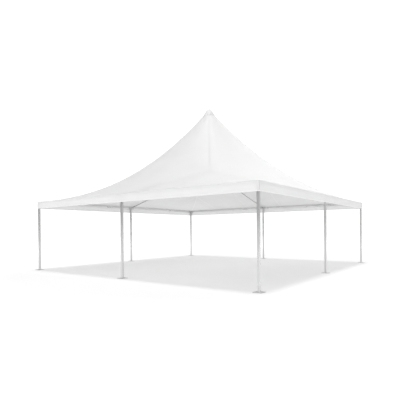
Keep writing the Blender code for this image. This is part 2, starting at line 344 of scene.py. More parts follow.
def leg_finish():
    """Anodised tube with painted shade at the top, and pale specks at the foot, partly dirt and partly
    painted light from the floor. Returns the material.
    """
    finish, tree, shader, colour = tube_finish("anodised_leg", (0.0, 0.0, 1.0), LEG_LIGHT)
    height = add_node(tree, "SeparateXYZ", {"Vector": place_of(tree)}).outputs["Z"]
    # painted shade: the colour darkens with height, up towards the eave
    shade = add_node(tree, "MapRange", {"Value": height}, {"From Min": LEG_PAINTED_SHADE_FROM,
                     "From Max": LEG_PAINTED_SHADE_TO, "To Min": 1.0, "To Max": LEG_PAINTED_SHADE_TOP}).outputs["Result"]
    painted_shade_colour = add_node(tree, "Mix", {"Factor": shade, "B": colour}, {"A": grey(0.0)}, data_type="RGBA")
    # pale specks near the foot: dust, and painted light from the bright floor
    near_floor = add_node(tree, "MapRange", {"Value": height}, {"From Min": 0.0, "From Max": DUST_TOP,
                          "To Min": DUST_AND_FLOOR_LIGHT_MOST, "To Max": 0.0}).outputs["Result"]
    specks = ramp(tree, noise_of(tree, place_of(tree), 150.0, detail=4.0), 0.7, 1.0, 0.4, 0.6)
    dust_and_floor_light = combined(tree, specks, near_floor)
    dusty_and_floor_lit = add_node(tree, "Mix", {"Factor": dust_and_floor_light, "A": painted_shade_colour.outputs["Result"]}, {"B": grey(DUST_AND_FLOOR_LIGHT_COLOUR)},
                     data_type="RGBA")
    metal_left = add_node(tree, "Math", {1: dust_and_floor_light}, {0: 1.0}, operation="SUBTRACT").outputs[0]
    tree.links.new(dusty_and_floor_lit.outputs["Result"], shader.inputs["Base Color"])
    tree.links.new(metal_left, shader.inputs["Metallic"])
    return finish


legs = [name for name in parts if name.startswith("leg_")]
dress(leg_finish(), legs)
print("legs finished:", len(legs))

# %% [markdown]
# The fittings are bare aluminium, sawn, ground and welded. They are duller than the tubes, and their
# scratches run every way, so plain noise does without any stretching. The foot plates are steel dipped in
# molten zinc. As zinc cools it grows flat crystals, each a slightly different grey, which is just what a
# Voronoi pattern draws; a cloudy noise over it stands for the scuffs of feet.


# %% Fittings and foot plates
def ground_finish(name, colour, roughness):
    """Ground and welded aluminium."""
    finish, tree, shader = new_finish(name, roughness, metallic=1.0)
    scratches = noise_of(tree, place_of(tree), 180.0, detail=6.0, roughness=0.65)
    clouds = noise_of(tree, place_of(tree), 18.0, detail=4.0)
    tree.links.new(ramp(tree, clouds, colour - 0.08, colour + 0.06), shader.inputs["Base Color"])
    tree.links.new(ramp(tree, scratches, roughness - 0.1, roughness + 0.12),
                   shader.inputs["Roughness"])
    bumped(tree, shader, scratches, 0.0004, 0.4)
    return finish


def zinc_finish(name):
    """Hot-dip zinc with its crystals."""
    finish, tree, shader = new_finish(name, 0.5, metallic=0.9)
    crystals = add_node(tree, "TexVoronoi", {"Vector": place_of(tree)}, {"Scale": 70.0})
    shade = add_node(tree, "SeparateColor", {"Color": crystals.outputs["Color"]}).outputs["Red"]
    scuffs = noise_of(tree, place_of(tree), 25.0, detail=6.0)
    pattern = combined(tree, shade, scuffs)
    tree.links.new(ramp(tree, pattern, 0.60, 0.76, 0.05, 0.6), shader.inputs["Base Color"])
    tree.links.new(ramp(tree, scuffs, 0.42, 0.62), shader.inputs["Roughness"])
    bumped(tree, shader, pattern, 0.0003, 0.3)
    return finish


fittings = [name for name in parts if "fitting" in name]
dress(ground_finish("welded_aluminium", 0.64, 0.42), fittings)
dress(zinc_finish("dipped_zinc"), [name for name in parts if name.startswith("foot_plate")])
print("fittings finished:", len(fittings))

# %% [markdown]
# The cloth is coated polyester: an open woven net of yarn under a smooth white skin. It is not quite
# opaque. Light that falls on one side glows through to the other, and where something dark touches the
# inside, such as a post's top, it shows faintly. So the finish mixes a Principled shader, whose alpha lets
# a little of what is behind be seen, with a Translucent one for the glow. The net shows as a shallow bump
# of two crossed waves on the cloth's own UV map, measured in metres. Sewn layers hide what is behind
# them, so doubled cloth has no alpha. The flaps of the welds lie on the inside, where light reaches them
# only through the roof, so their finish is a little paler and they stay as faint as real ones.

# %% Coated cloth
YARN = 0.0028                                     # from one yarn of the net to the next
YARN_RELIEF = 0.00018
WAVE_SCALE = math.tau / 20.0 / YARN               # a wave texture of scale 1 has 20 / tau waves in a metre


def cloth_finish(name, see_through, glow_through, light=0.87):
    """Coated polyester. see_through and glow_through are shares from 0 to 1."""
    finish, tree, shader = new_finish(name, 0.5, specular=0.35)
    clouds = noise_of(tree, place_of(tree), 1.3, detail=6.0)
    tree.links.new(ramp(tree, clouds, light - 0.012, light + 0.012), shader.inputs["Base Color"])
    tree.links.new(ramp(tree, clouds, 0.44, 0.56), shader.inputs["Roughness"])
    waves = [add_node(tree, "TexWave", {"Vector": place_of(tree, "UV")}, {"Scale": WAVE_SCALE},
                      bands_direction=axis).outputs["Fac"] for axis in "XY"]
    bumped(tree, shader, combined(tree, *waves, operation="MAXIMUM"), YARN_RELIEF, 0.8)
    shader.inputs["Alpha"].default_value = 1.0 - see_through
    through = add_node(tree, "BsdfTranslucent", None, {"Color": grey(0.85)})
    mixed = add_node(tree, "MixShader", {1: shader.outputs[0], 2: through.outputs[0]}, {0: glow_through})
    tree.links.new(mixed.outputs[0], tree.nodes["Material Output"].inputs["Surface"])
    return finish


# The same cloth gets a different lightness on each piece, set by how it is lit: the roof's and the hood's are
# painted darker than the valances', which is painted shade, and the welds' flaps are painted paler to cancel
# the shade they lie in.
roof_cloth = cloth_finish("roof_cloth", 0.15, 0.01, light=0.705)
roof_weld = cloth_finish("roof_cloth_welded", 0.15, 0.0, light=0.80)
hood_cloth = cloth_finish("hood_cloth", 0.0, 0.16, light=0.75)
valance_single = cloth_finish("valance_cloth", 0.12, 0.03, light=0.88)
valance_double = cloth_finish("valance_cloth_doubled", 0.0, 0.02, light=0.88)
print("cloth finishes:", [m.name for m in (roof_cloth, roof_weld, valance_single, valance_double)])

# %% [markdown]
# The roof is one sheet stretched from the square eave up to the mast. It could be four flat triangles, but
# a stretched membrane isn't flat: it is hollow everywhere, steep at the peak and gentle at the eave, and
# its hips are rounded. One formula gives such a surface. spread is 0 at the peak and 1 all along the eave,
# and its level lines turn from circles into a square. The height falls with spread, faster near the top.
# A small helper then puts real points in that surface, quarter by quarter.

# %% Shape of the stretched roof
APEX_HEIGHT = 6.185
STRAIGHTNESS = 0.55
SHEET_DROP = 0.008                                # the solid sheet's underside is this far below its top
RING_RADIUS = 0.055
valance_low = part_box("valance_front")[0]
HALF = -valance_low.y                             # half the square, to the valance's outer face
VALANCE_BOTTOM = valance_low.z
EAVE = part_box("roof_front")[0].z + SHEET_DROP
RISE = APEX_HEIGHT - EAVE


def quarter(turn):
    """Turns a point of the front side to the front, right, back or left side."""
    return Matrix.Rotation(turn * math.pi / 2, 4, "Z")


def spread_at(x, y):
    """0 at the peak, 1 all along the eave."""
    a = (x / HALF) ** 2
    b = (y / HALF) ** 2
    return math.sqrt(max(a + b - a * b, 0.0))


def roof_height(x, y):
    """Height of the taut sheet over a point of the plan."""
    rest = 1.0 - spread_at(x, y)
    return EAVE + RISE * rest * (STRAIGHTNESS + (1.0 - STRAIGHTNESS) * rest)


def roof_normal(x, y, step=0.002):
    """The taut sheet's normal, from heights a step to each side."""
    fall_x = roof_height(x + step, y) - roof_height(x - step, y)
    fall_y = roof_height(x, y + step) - roof_height(x, y - step)
    return Vector((-fall_x, -fall_y, 2 * step)).normalized()


def roof_place(spread, across):
    """Plan position on the front quarter. across runs from -1 to 1 between its two hips."""
    angle = math.atan(across)
    bulge = math.sin(2 * angle) ** 2
    reach = HALF * spread * math.sqrt(2.0 / (1.0 + math.sqrt(1.0 - spread ** 2 * bulge)))
    return reach * math.sin(angle), -reach * math.cos(angle)


print("eave at", round(EAVE, 4), "half side", round(HALF, 4), "rise", round(RISE, 4))

# %% [markdown]
# No sheet is perfectly taut. Round the mast it is gathered into small pleats, from each corner a fan of
# faint pulls runs inwards, and between them the cloth moves by a few millimetres. These are small
# displacements along the surface's normal, worked out for every point. A cloth simulation could find
# them too, but the sheet is under tension everywhere, so formulas give the same calm surface at once.

# %% How far the sheet departs from taut
PLEATS = 16
PLEAT_DEPTH = 0.004
PLEAT_REACH = 0.25                                # distance from the peak over which pleats fade
PULLS = 9
PULL_DEPTH = 0.0022
PULL_REACH = 0.7
PULL_START = 0.2                                  # distance from the corner over which pulls grow
PULL_EDGE = 0.12                                  # distance from the eave over which they die out
SLACK_DEPTH = 0.005
SLACK_LENGTH = 1.6
SLACK_START = 0.5                                 # distance from the peak over which slack grows
SLACK_EDGE = 0.4                                  # distance from the eave over which it dies out


def slack_at(x, y):
    """Displacement of the sheet along its normal, in metres."""
    from_peak = math.hypot(x, y)
    pleats = PLEAT_DEPTH * math.cos(PLEATS * math.atan2(y, x)) * math.exp(-from_peak / PLEAT_REACH)
    to_eave = HALF - max(abs(x), abs(y))
    inwards_x, inwards_y = HALF - abs(x), HALF - abs(y)
    from_corner = math.hypot(inwards_x, inwards_y)
    fan = math.atan2(inwards_y, inwards_x) / (math.pi / 2)
    calm = min(1.0, to_eave / PULL_EDGE)
    pulls = PULL_DEPTH * math.sin(PULLS * math.pi * fan) * math.exp(-from_corner / PULL_REACH)
    pulls *= min(1.0, from_corner / PULL_START)
    drift = noise.noise(Vector((x / SLACK_LENGTH, y / SLACK_LENGTH, 0.0)))
    middle = min(1.0, from_peak / SLACK_START) * min(1.0, to_eave / SLACK_EDGE)
    return pleats + calm * pulls + SLACK_DEPTH * drift * middle


print("slack at a few places, mm:", [round(1000 * slack_at(x, x / 2), 2) for x in (-0.1, -1.0, -3.0, -4.0)])

# %% [markdown]
# The sheet is made as rings of points from the mast's ring out to the eave, joined by quads. The columns
# crowd towards the hips, where the pulls are. At the eave the cloth bends over the rail and hangs down
# behind the valance's top: the bend is an arc that starts at the roof's own slope and ends upright, so no
# crease shows. In plan the eave's corners are rounded a little, as cloth can't be folded to a point.

# %% Roof sheet
RINGS = 96
RING_GROWTH = 1.2                                 # rings crowd a little towards the peak
COLUMNS = 72                                      # in each quarter
FOLD_RADIUS = 0.006
FOLD_STEPS = 4
TAIL = 0.014                                      # cloth that hangs down behind the valance's top
CORNER_RADIUS = 0.008
LAST_SPREAD = 0.988                               # of the last ring before the fold
PLAN_SHARE = 1.2                                  # what a metre of plan adds to the way down the cloth
HEIGHT_SHARE = 0.6                                # what a metre of height adds to it


def finish_piece(name, bm, finishes, flat_place=None, smooth_angle=35.0):
    """Turn a bmesh into a shown piece that rides on the tent. flat_place gives a corner's UV in metres."""
    mesh = bpy.data.meshes.new(name)
    bm.normal_update()
    if flat_place is not None:
        flat = bm.loops.layers.uv.new("UVMap")
        for face in bm.faces:
            middle = face.calc_center_median()
            for corner in face.loops:
                corner[flat].uv = flat_place(corner.vert.co, middle)
    bm.to_mesh(mesh)
    bm.free()
    mesh.shade_smooth()
    mesh.set_sharp_from_angle(angle=math.radians(smooth_angle))
    for finish in finishes:
        mesh.materials.append(finish)
    piece = bpy.data.objects.new(name, mesh)
    bpy.context.scene.collection.objects.link(piece)
    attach(piece, "root")
    return piece


def turn_of(point):
    """Which side a point of the plan belongs to: 0 front, 1 right, 2 back, 3 left."""
    if abs(point.y) >= abs(point.x):
        return 0 if point.y < 0 else 2
    return 1 if point.x > 0 else 3


def cloth_place(point, middle):
    """UV in metres: along the side, and down the slope or the hanging cloth."""
    ahead = quarter(-turn_of(middle)) @ point
    return ahead.x, ahead.y * PLAN_SHARE + ahead.z * HEIGHT_SHARE


def rounded(x, y, half):
    """Move a point on a square's outline to the same square with rounded corners."""
    inner = half - CORNER_RADIUS
    past_x, past_y = abs(x) - inner, abs(y) - inner
    if min(past_x, past_y) <= 0.0:
        return x, y
    pull = max(past_x, past_y) / math.hypot(past_x, past_y)
    return math.copysign(inner + past_x * pull, x), math.copysign(inner + past_y * pull, y)


def join_rings(bm, rings, closed=True):
    """Faces between each ring of points and the next, facing outwards when rings go downwards."""
    for upper, lower in zip(rings, rings[1:]):
        count = len(upper)
        for k in range(count if closed else count - 1):
            n = (k + 1) % count
            bm.faces.new((lower[k], lower[n], upper[n], upper[k]))


def even_to_crowded(t):
    """-1 to 1, with more of its values near both ends."""
    return 0.5 * (t + math.sin(math.pi / 2 * t))


corner_columns = (-1.0, -0.9995, -0.9985, -0.997)
between = [even_to_crowded(-1.0 + 2.0 * j / COLUMNS) for j in range(1, COLUMNS)]
across_columns = list(corner_columns) + between + [-c for c in reversed(corner_columns[1:])]
first_spread = RING_RADIUS / HALF
spreads = [first_spread + (LAST_SPREAD - first_spread) * (i / RINGS) ** RING_GROWTH for i in range(RINGS + 1)]
bm = bmesh.new()
rings = []
for spread in spreads:
    ring = []
    for turn in range(4):
        for across in across_columns:
            x, y = roof_place(spread, across)
            taut = Vector((x, y, roof_height(x, y)))
            moved = quarter(turn) @ taut
            normal = quarter(turn).to_3x3() @ roof_normal(x, y)
            ring.append(bm.verts.new(moved + slack_at(moved.x, moved.y) * normal))
    rings.append(ring)
for step in range(FOLD_STEPS + 2):
    ring = []
    for turn in range(4):
        for across in across_columns:
            x = HALF * across
            slope = math.atan(RISE * STRAIGHTNESS / HALF * (1.0 - across ** 2))
            bend = slope + (math.pi / 2 - slope) * min(1.0, step / FOLD_STEPS)
            half = HALF - FOLD_RADIUS * (1.0 - math.sin(bend))
            start_half = HALF - FOLD_RADIUS * (1.0 - math.sin(slope))
            start_height = EAVE + math.tan(slope) * (HALF - start_half)
            height = start_height - FOLD_RADIUS * (math.cos(slope) - math.cos(bend))
            if step > FOLD_STEPS:
                height -= TAIL
            x, y = rounded(half * across, -half, half)
            ring.append(bm.verts.new(quarter(turn) @ Vector((x, y, height))))
    rings.append(ring)
join_rings(bm, rings)
bm.normal_update()
roof_faces = BVHTree.FromBMesh(bm)
roof = finish_piece("roof_sheet", bm, [roof_cloth], cloth_place)
roof_area = sum(face.area for face in roof.data.polygons)
print("roof sheet:", len(roof.data.polygons), "faces,", round(roof_area, 2), "square metres")

# %% [markdown]
# Tent cloth comes in rolls about 1.85 m wide, so each side of a roof this size is welded together from
# five widths, and the sides meet in a weld along each hip. A weld is a flap where two layers overlap,
# pressed flat against the sheet. It lies on the inside, so that rain runs over a smooth roof, and from
# outside it shows only as a faint line through the cloth. Painting it on would do from afar, but a band of
# its own has the right edge when seen from below. It is laid just under the sheet's own faces, which a ray
# cast from above finds.

# %% Welded seams
HIP_BAND = 0.040
WIDTH_BAND = 0.025
BAND_DEPTH = 0.0014                               # how far the flap lies under the sheet
BAND_EDGE = 0.0010
BAND_STEP = 0.03
ROLL_WIDTH = 1.836
HIGH_ABOVE = 10.0


def on_roof(x, y):
    """The point of the roof sheet over a plan position, and the sheet's normal there."""
    hit, normal, _, _ = roof_faces.ray_cast(Vector((x, y, HIGH_ABOVE)), Vector((0.0, 0.0, -1.0)))
    return hit, normal


def lay_band(bm, start, end, width):
    """A thin flat band under the sheet, along a straight line of the plan."""
    start, end = Vector(start), Vector(end)
    steps = max(2, round((end - start).length / BAND_STEP))
    sideways = Vector((start.y - end.y, end.x - start.x)).normalized()
    flat = width / 2 - BAND_EDGE
    outline = [(-width / 2, BAND_DEPTH / 3)]
    outline += [(share * flat, BAND_DEPTH) for share in (-1.0, -0.5, 0.0, 0.5, 1.0)]
    outline.append((width / 2, BAND_DEPTH / 3))
    rows = []
    for i in range(steps + 1):
        middle = start.lerp(end, i / steps)
        row = []
        for offset, depth in outline:
            place = middle + sideways * offset
            hit, normal = on_roof(place.x, place.y)
            row.append(bm.verts.new(hit - normal * depth))
        rows.append(row)
    for here, there in zip(rows, rows[1:]):
        for k in range(len(outline) - 1):
            bm.faces.new((here[k], here[k + 1], there[k + 1], there[k]))


SEAM_END = HALF - 0.012                           # the widths' welds stop just before the fold
HIP_END = SEAM_END - 0.02
HOOD_RADIUS = 0.240
UNDER_HOOD = 0.7                                  # hip welds end here, as a share of the hood's radius
bm = bmesh.new()
for turn in range(4):
    far = (quarter(turn) @ Vector((HIP_END, -HIP_END, 0.0))).xy
    near = (quarter(turn) @ Vector((HOOD_RADIUS * UNDER_HOOD, -HOOD_RADIUS * UNDER_HOOD, 0.0))).xy
    lay_band(bm, far, near, HIP_BAND)
    for count in (-1.5, -0.5, 0.5, 1.5):
        x = count * ROLL_WIDTH
        low_end = (quarter(turn) @ Vector((x, -SEAM_END, 0.0))).xy
        high_end = (quarter(turn) @ Vector((x, -abs(x) - HIP_BAND, 0.0))).xy
        lay_band(bm, low_end, high_end, WIDTH_BAND)
bm.normal_update()
for face in bm.faces:
    if face.normal.z > 0.0:
        face.normal_flip()
seams = finish_piece("roof_seams", bm, [roof_weld], cloth_place)
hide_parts("roof_front", "roof_right", "roof_back", "roof_left")
print("welded seams:", len(seams.data.polygons), "faces")

# %% [markdown]
# The valance is a strip of the same cloth, sewn on just below the eave's fold, that hangs 25 cm straight
# down and hides the rails. It carries no load, so it ripples by a few millimetres, but it lies still where
# it touches the eave fittings and at the corners. Its lower edge is turned up inside into a 30 mm hem. At
# each corner the ends of two strips are turned in and sewn together, which leaves a narrow upright
# groove. One function gives the cloth's place at any point along the side and any height.

# %% Shape of the valance
VALANCE_TOP = EAVE - FOLD_RADIUS
VALANCE_DEPTH = VALANCE_TOP - VALANCE_BOTTOM
VALANCE_OUT = 0.0014                              # outside the roof's tail
HEM = 0.030
HEM_LIFT = 0.0008
HEM_GAP = 0.0016                                  # between the hem's outer and inner layers
RIPPLE = 0.006
STILL = 0.35                                      # distance from a fitting over which ripples grow
CREASE = 0.0016
CREASES = 7
CREASE_REACH = 0.16
CREASE_START = 0.03
LONG_RIPPLES = 1.7                                # ripples in a metre, about
SHORT_RIPPLES = 4.3
LONG_LAYER = 0.3                                  # each kind is cut from its own layer of the noise
SHORT_LAYER = 4.1
SIDE_STEP = 5.0                                   # and each side from its own row
PINCH_DEPTH = 0.0012                              # where the middle fitting holds the cloth in
PINCH_WIDTH = 0.05


def valance_out(turn, along, height):
    """How far the valance hangs outside the side's plane, in metres."""
    depth = (VALANCE_TOP - height) / VALANCE_DEPTH
    to_corner = HALF - abs(along)
    hold = min(1.0, abs(along) / STILL, to_corner / STILL)
    hold = hold * hold * (3.0 - 2.0 * hold)
    wave = noise.noise(Vector((LONG_RIPPLES * along, SIDE_STEP * turn, LONG_LAYER)))
    wave += 0.5 * noise.noise(Vector((SHORT_RIPPLES * along, SIDE_STEP * turn, SHORT_LAYER)))
    fan = math.atan2(VALANCE_TOP - height, to_corner) / (math.pi / 2)
    from_corner = math.hypot(VALANCE_TOP - height, to_corner)
    crease = CREASE * math.sin(CREASES * math.pi * fan) * math.exp(-from_corner / CREASE_REACH)
    crease *= min(1.0, to_corner / CREASE_START)
    pinch = -PINCH_DEPTH * math.exp(-(along / PINCH_WIDTH) ** 2) * depth
    hem = HEM_LIFT if height < VALANCE_BOTTOM + HEM else 0.0
    return VALANCE_OUT + RIPPLE * depth ** 1.3 * wave * hold + crease + pinch + hem


print("valance hangs from", round(VALANCE_TOP, 3), "to", round(VALANCE_BOTTOM, 3))

# %% Valance strips
STRIP_COLUMNS = 320
LIP_RADIUS = 0.0025                               # of the turned-in ends
LIP_START = 0.0062                                # from the corner to where an end starts to turn in
LIP_TURN = math.radians(115.0)
LIP_STEPS = 6
TURN_UP = 0.0009                                  # radius of the fold under the hem
ABOVE_HEM = 0.0015                                # two rows close together keep the hem's edge sharp
BELOW_HEM = 0.0005
plain_heights = [VALANCE_TOP - VALANCE_DEPTH * k / 10 for k in range(9)]
hem_top = VALANCE_BOTTOM + HEM
outer_heights = [h for h in plain_heights if h > hem_top + 0.01]
outer_heights += [hem_top + ABOVE_HEM, hem_top - BELOW_HEM]
outer_heights += [VALANCE_BOTTOM + HEM / 2, VALANCE_BOTTOM + TURN_UP]


def strip_columns():
    """Pairs of place along the side and distance turned in, from one corner groove to the other."""
    straight = HALF - LIP_START
    lips = [(straight + LIP_RADIUS * math.sin(a), LIP_RADIUS * (1.0 - math.cos(a)))
            for a in [LIP_TURN * k / LIP_STEPS for k in range(1, LIP_STEPS + 1)]]
    middle = [(-straight + 2.0 * straight * i / STRIP_COLUMNS, 0.0) for i in range(STRIP_COLUMNS + 1)]
    return [(-s, t) for s, t in reversed(lips)] + middle + lips


valances = []
for turn, side in enumerate(SIDES):
    bm = bmesh.new()
    rows = []
    levels = [(h, 0.0) for h in outer_heights]
    levels += [(VALANCE_BOTTOM, TURN_UP), (VALANCE_BOTTOM + TURN_UP, 2 * TURN_UP), (hem_top, HEM_GAP)]
    for height, inwards in levels:
        row = []
        for along, turned_in in strip_columns():
            out = valance_out(turn, along, max(height, VALANCE_BOTTOM + TURN_UP)) - inwards - turned_in
            row.append(bm.verts.new(quarter(turn) @ Vector((along, -HALF - out, height))))
        rows.append(row)
    join_rings(bm, rows, closed=False)
    bm.faces.ensure_lookup_table()
    for face in bm.faces:
        if face.calc_center_median().z < hem_top:
            face.material_index = 1
    piece = finish_piece("valance_cloth_" + side, bm, [valance_single, valance_double],
                         cloth_place, smooth_angle=70.0)
    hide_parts("valance_" + side)
    valances.append(piece)
strip_area = sum(face.area for face in valances[0].data.polygons)
print("valance strip:", len(valances[0].data.polygons), "faces,", round(strip_area, 3), "square metres")

# %% [markdown]
# Two rows of thread hold each strip: one just under the fold, through the roof's tail, and one along the
# top of the hem. A line drawn in the finish would be lost in close views, so each stitch is a tiny
# five-sided grain of thread that sits on the cloth. Thousands of them are made in one mesh, placed by the
# same function that shaped the valance, so they follow its ripples.

# %% Stitches
STITCH_PITCH = 0.008
STITCH_LENGTH = 0.0056
STITCH_WIDTH = 0.0011
STITCH_LIFT = 0.0006
TOP_ROW = 0.006                                   # from the fold down to the upper row
HEM_ROW = 0.004                                   # from the hem's top down to the lower row
thread_finish, thread_tree, thread_shader = new_finish("sewing_thread", 0.6, specular=0.3)
fuzz = noise_of(thread_tree, place_of(thread_tree), 900.0, detail=2.0)
thread_tree.links.new(ramp(thread_tree, fuzz, 0.74, 0.86), thread_shader.inputs["Base Color"])


def add_stitch(bm, place, along, outward):
    """One stitch at a place on the cloth."""
    across = along.cross(outward) * (STITCH_WIDTH / 2)
    along = along * (STITCH_LENGTH / 2)
    one, two = bm.verts.new(place - along), bm.verts.new(place + along)
    left, right = bm.verts.new(place - across), bm.verts.new(place + across)
    top = bm.verts.new(place + outward * STITCH_LIFT)
    for corners in ((one, left, top), (left, two, top), (two, right, top), (right, one, top)):
        bm.faces.new(corners)
    bm.faces.new((one, right, two, left))


def sew_valance(bm, turn, height):
    """A row of stitches along one side's valance."""
    reach = HALF - LIP_START
    count = int(2 * reach / STITCH_PITCH)
    outward = quarter(turn).to_3x3() @ Vector((0.0, -1.0, 0.0))
    along = quarter(turn).to_3x3() @ Vector((1.0, 0.0, 0.0))
    for i in range(count):
        s = -reach + STITCH_PITCH * (i + 0.5)
        out = valance_out(turn, s, height)
        add_stitch(bm, quarter(turn) @ Vector((s, -HALF - out, height)), along, outward)
    return count


for turn, side in enumerate(SIDES):
    bm = bmesh.new()
    sewn = sew_valance(bm, turn, VALANCE_TOP - TOP_ROW) + sew_valance(bm, turn, hem_top - HEM_ROW)
    bmesh.ops.recalc_face_normals(bm, faces=bm.faces)
    finish_piece("valance_stitches_" + side, bm, [thread_finish])
print("stitches on a side:", sewn)

# %% [markdown]
# Over the mast sits a hood that keeps rain out of the opening in the sheet: a rounded tip that runs out
# into a short cone, tight over the pleats. It is a turned shape, so a profile is spun round the mast: part
# of a ball for the tip, and then a line for the cone. Each point of the cone lies between the tip's edge
# and the hem, a little outside the straight line, and the hem is lowered onto the sheet that is really
# there, pleats and all. Along the hem runs a band with stitches.

# %% Mast hood
HOOD_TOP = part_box("mast_cap")[1].z
TIP_RADIUS = 0.065                                # of the ball
TIP_TURN = math.radians(42.0)                     # how far down the ball the cone starts
TIP_STEPS = 8
CONE_RADIUS = TIP_RADIUS * math.sin(TIP_TURN)     # where the cone starts
CONE_HEIGHT = HOOD_TOP - TIP_RADIUS * (1.0 - math.cos(TIP_TURN))
HOOD_COLUMNS = 128
HOOD_STEPS = 14
HOOD_BULGE = 0.030
SKIRT_LIFT = 0.0022
SKIRT_BAND = 0.022                                # width of the doubled band along the hem
SKIRT_LAYER = 0.0009                              # how much the second layer adds
SKIRT_EDGE = 0.0028                               # height of the hem's edge
SKIRT_ROW = 0.005                                 # from the band's top down to its stitches


def hood_place(angle, t):
    """Point of the hood's cone. t runs from 0 at the tip's edge to 1 at the hem."""
    way = Vector((math.cos(angle), math.sin(angle), 0.0))
    start = way * CONE_RADIUS + Vector((0.0, 0.0, CONE_HEIGHT))
    hem, normal = on_roof(HOOD_RADIUS * way.x, HOOD_RADIUS * way.y)
    place = start.lerp(hem + normal * SKIRT_LIFT, t)
    place.z += HOOD_BULGE * math.sin(math.pi * t) * (1.0 - 0.35 * t)
    under = on_roof(place.x, place.y)[0]
    if under is not None:
        place.z = max(place.z, under.z + SKIRT_LIFT)
    return place


profile = [(TIP_RADIUS * math.sin(a), HOOD_TOP - TIP_RADIUS * (1.0 - math.cos(a)))
           for a in [TIP_TURN * k / TIP_STEPS for k in range(1, TIP_STEPS)]]
angles = [math.tau * k / HOOD_COLUMNS for k in range(HOOD_COLUMNS)]
cone_length = HOOD_RADIUS - CONE_RADIUS
band_start = 1.0 - SKIRT_BAND / cone_length
cone_steps = [band_start * k / HOOD_STEPS for k in range(HOOD_STEPS + 1)] + [band_start + 0.01, 1.0]
bm = bmesh.new()
rings = []
for radius, height in profile:
    rings.append([bm.verts.new((radius * math.cos(a), radius * math.sin(a), height)) for a in angles])
for i, t in enumerate(cone_steps):
    doubled = Vector((0.0, 0.0, SKIRT_LAYER if i > HOOD_STEPS else 0.0))
    rings.append([bm.verts.new(hood_place(a, t) + doubled) for a in angles])
rings.append([bm.verts.new(v.co - Vector((0.0, 0.0, SKIRT_EDGE))) for v in rings[-1]])
join_rings(bm, rings)
crown = bm.verts.new((0.0, 0.0, HOOD_TOP))
for k in range(HOOD_COLUMNS):
    bm.faces.new((crown, rings[0][k], rings[0][(k + 1) % HOOD_COLUMNS]))
hood = finish_piece("mast_hood", bm, [hood_cloth], cloth_place, smooth_angle=50.0)
bm = bmesh.new()
seam_step = band_start + SKIRT_ROW / cone_length
hood_stitches = int(math.tau * (CONE_RADIUS + seam_step * cone_length) / STITCH_PITCH)
for k in range(hood_stitches):
    angle = math.tau * k / hood_stitches
    place = hood_place(angle, seam_step)
    ahead = (hood_place(angle + 0.01, seam_step) - place).normalized()
    down = (hood_place(angle, seam_step + 0.01) - place).normalized()
    outward = down.cross(ahead).normalized()
    add_stitch(bm, place + outward * SKIRT_LAYER, ahead, outward)
bmesh.ops.recalc_face_normals(bm, faces=bm.faces)
hood_thread = finish_piece("hood_stitches", bm, [thread_finish])
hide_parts("mast_cap")
hood_area = sum(face.area for face in hood.data.polygons)
print("hood:", round(hood_area, 4), "square metres,", hood_stitches, "stitches")

# %% [markdown]
# Where metal meets metal the welder leaves a bead: a small fillet with ripples a few millimetres apart.
# Each leg is welded to its foot plate all round, and the fittings are welded where their sockets meet. A
# bead is a profile carried along a path. Two directions at each point of the path tell which way the two
# welded faces run, so one function serves for square rings and straight corners alike.

# %% Weld beads
BEAD_SIZE = 0.006
BEAD_STEP = 0.0022
BEAD_RIPPLE = 0.12
BEAD_PROFILE = ((1.0, 0.0), (0.74, 0.42), (0.42, 0.74), (0.0, 1.0), (-0.06, -0.06))
LEG_CORNER = 0.004
leg_low, leg_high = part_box("leg_corner_front_right")
LEG_HALF = (leg_high.x - leg_low.x) / 2
plate_top = near_plate[1].z


def lay_bead(bm, path, size, closed):
    """path holds (point, along one face, along the other face)."""
    rows = []
    for k, (point, first_way, second_way) in enumerate(path):
        swell = size * (1.0 + BEAD_RIPPLE * (1.0 if k % 2 else -0.5))
        rows.append([bm.verts.new(point + first_way * a * swell + second_way * b * swell)
                     for a, b in BEAD_PROFILE])
    count = len(BEAD_PROFILE)
    for k in range(len(rows) if closed else len(rows) - 1):
        here, there = rows[k], rows[(k + 1) % len(rows)]
        for n in range(count):
            m = (n + 1) % count
            bm.faces.new((here[n], here[m], there[m], there[n]))
    if not closed:
        bm.faces.new(rows[0])
        bm.faces.new(list(reversed(rows[-1])))


def leg_ring(centre):
    """Path round a leg's rounded square, on its foot plate."""
    path = []
    straight = LEG_HALF - LEG_CORNER
    for turn in range(4):
        turned = quarter(turn).to_3x3()
        steps = max(2, round(2 * straight / BEAD_STEP))
        for i in range(steps):
            s = -straight + 2 * straight * i / steps
            path.append((centre + turned @ Vector((s, -LEG_HALF, 0.0)), turned @ Vector((0.0, -1.0, 0.0))))
        for i in range(4):
            angle = math.pi / 2 * i / 4
            way = turned @ Vector((math.sin(angle), -math.cos(angle), 0.0))
            path.append((centre + turned @ Vector((straight, -straight, 0.0)) + way * LEG_CORNER, way))
    return [(point, way, Vector((0.0, 0.0, 1.0))) for point, way in path]


bm = bmesh.new()
for name in legs:
    low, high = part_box(name)
    lay_bead(bm, leg_ring(Vector(((low.x + high.x) / 2, (low.y + high.y) / 2, plate_top))), BEAD_SIZE, True)
bmesh.ops.recalc_face_normals(bm, faces=bm.faces)
weld_finish = ground_finish("weld_metal", 0.6, 0.36)
leg_welds = finish_piece("leg_welds", bm, [weld_finish], smooth_angle=60.0)
print("leg welds:", len(leg_welds.data.polygons), "faces")

# %% Welds of the fittings
corner_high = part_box("corner_fitting_front_right")[1]
AXIS = (leg_low.x + leg_high.x) / 2
LEG_SOCKET_HALF = corner_high.x - AXIS
RAIL_HEIGHT = corner_high.z - LEG_SOCKET_HALF
FITTING_BEAD = 0.005
CROWN_HEIGHT = 3.76                               # where the rafters' axes meet
RAFTER_WAY = Vector((0.0, AXIS, CROWN_HEIGHT - RAIL_HEIGHT)).normalized()
RAFTER_SOCKET_HALF = 0.0308


